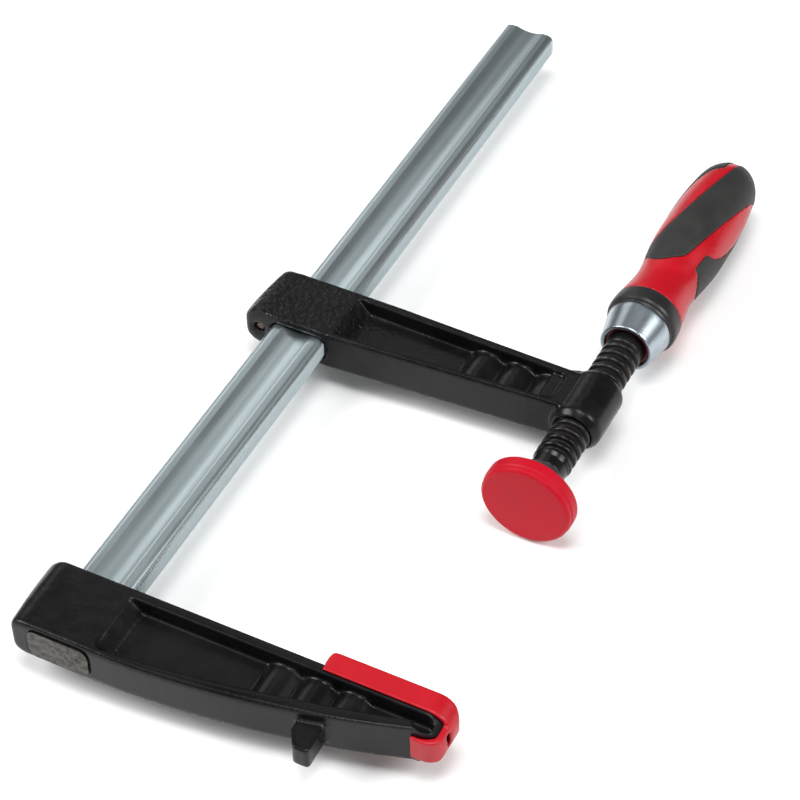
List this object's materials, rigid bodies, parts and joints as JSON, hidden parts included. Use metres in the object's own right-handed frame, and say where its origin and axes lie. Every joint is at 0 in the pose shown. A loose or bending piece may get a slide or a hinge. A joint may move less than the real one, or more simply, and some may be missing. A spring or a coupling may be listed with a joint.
{
  "type": "f clamp",
  "caption": "Cast-arm F clamp: flat grooved rail, fixed arm with jaw cap, sliding arm, screw spindle with swivelling pressure plate and a two-part handle.",
  "frame": {"origin": "centre of the fixed jaw cap's pressure face, where the spindle's axis meets it", "axes": "+Y along the rail to its free end and up the spindle to the handle; +X across the throat, from the rail to the spindle; +Z normal to the flat of the clamp"},
  "size_m": [0.1571, 0.3714, 0.0352],
  "materials": {
    "zinc_rail": "bright zinc plate",
    "black_casting": "satin black paint over a casting",
    "red_plastic": "gloss",
    "black_casting_slider": "satin black paint over a casting",
    "hardened_pin": "ground, oiled",
    "black_oxide_steel": "black oxide, oiled",
    "dark_plate": "black oxide",
    "spring_wire": "bright wire",
    "red_pad": "gloss",
    "red_handle": "satin gloss",
    "soft_grip": "soft matt",
    "black_collar": "matt",
    "zinc_ferrule": "bright zinc plate"
  },
  "bodies": {
    "frame": {"rail": "zinc_rail", "fixed_arm": "black_casting", "fixed_jaw_cap": "red_plastic"},
    "slider": {"sliding_arm": "black_casting_slider", "grip_pin": "hardened_pin"},
    "swivel_ring": {"ball_retainer": "spring_wire"},
    "screw": {"spindle": "black_oxide_steel", "handle_core": "red_handle", "handle_grip": "soft_grip", "handle_collar": "black_collar", "ferrule": "zinc_ferrule"},
    "pad": {"pressure_plate": "dark_plate", "pressure_plate_cap": "red_pad"}
  },
  "joints": [
    {"name": "arm_slide", "type": "slide", "parent": "frame", "child": "slider", "axis": [0, 1, 0], "range_m": [-0.071, 0.174]},
    {"name": "spindle_feed", "type": "slide", "parent": "slider", "child": "swivel_ring", "axis": [0, 1, 0], "range_m": [-0.0201, 0.0171]},
    {"name": "spindle_turn", "type": "hinge", "parent": "swivel_ring", "child": "screw", "pos_m": [0, 0.1034, 0], "axis": [0, 1, 0], "range_deg": [-1800, 1530]},
    {"name": "pad_tilt", "type": "hinge", "parent": "swivel_ring", "child": "pad", "pos_m": [0, 0.1034, 0], "axis": [1, 0, 0], "range_deg": [-6, 6]}
  ],
  "couplings": [
    {"joint": "spindle_feed", "follows": "spindle_turn", "m_per_rad": 0.00063662}
  ]
}
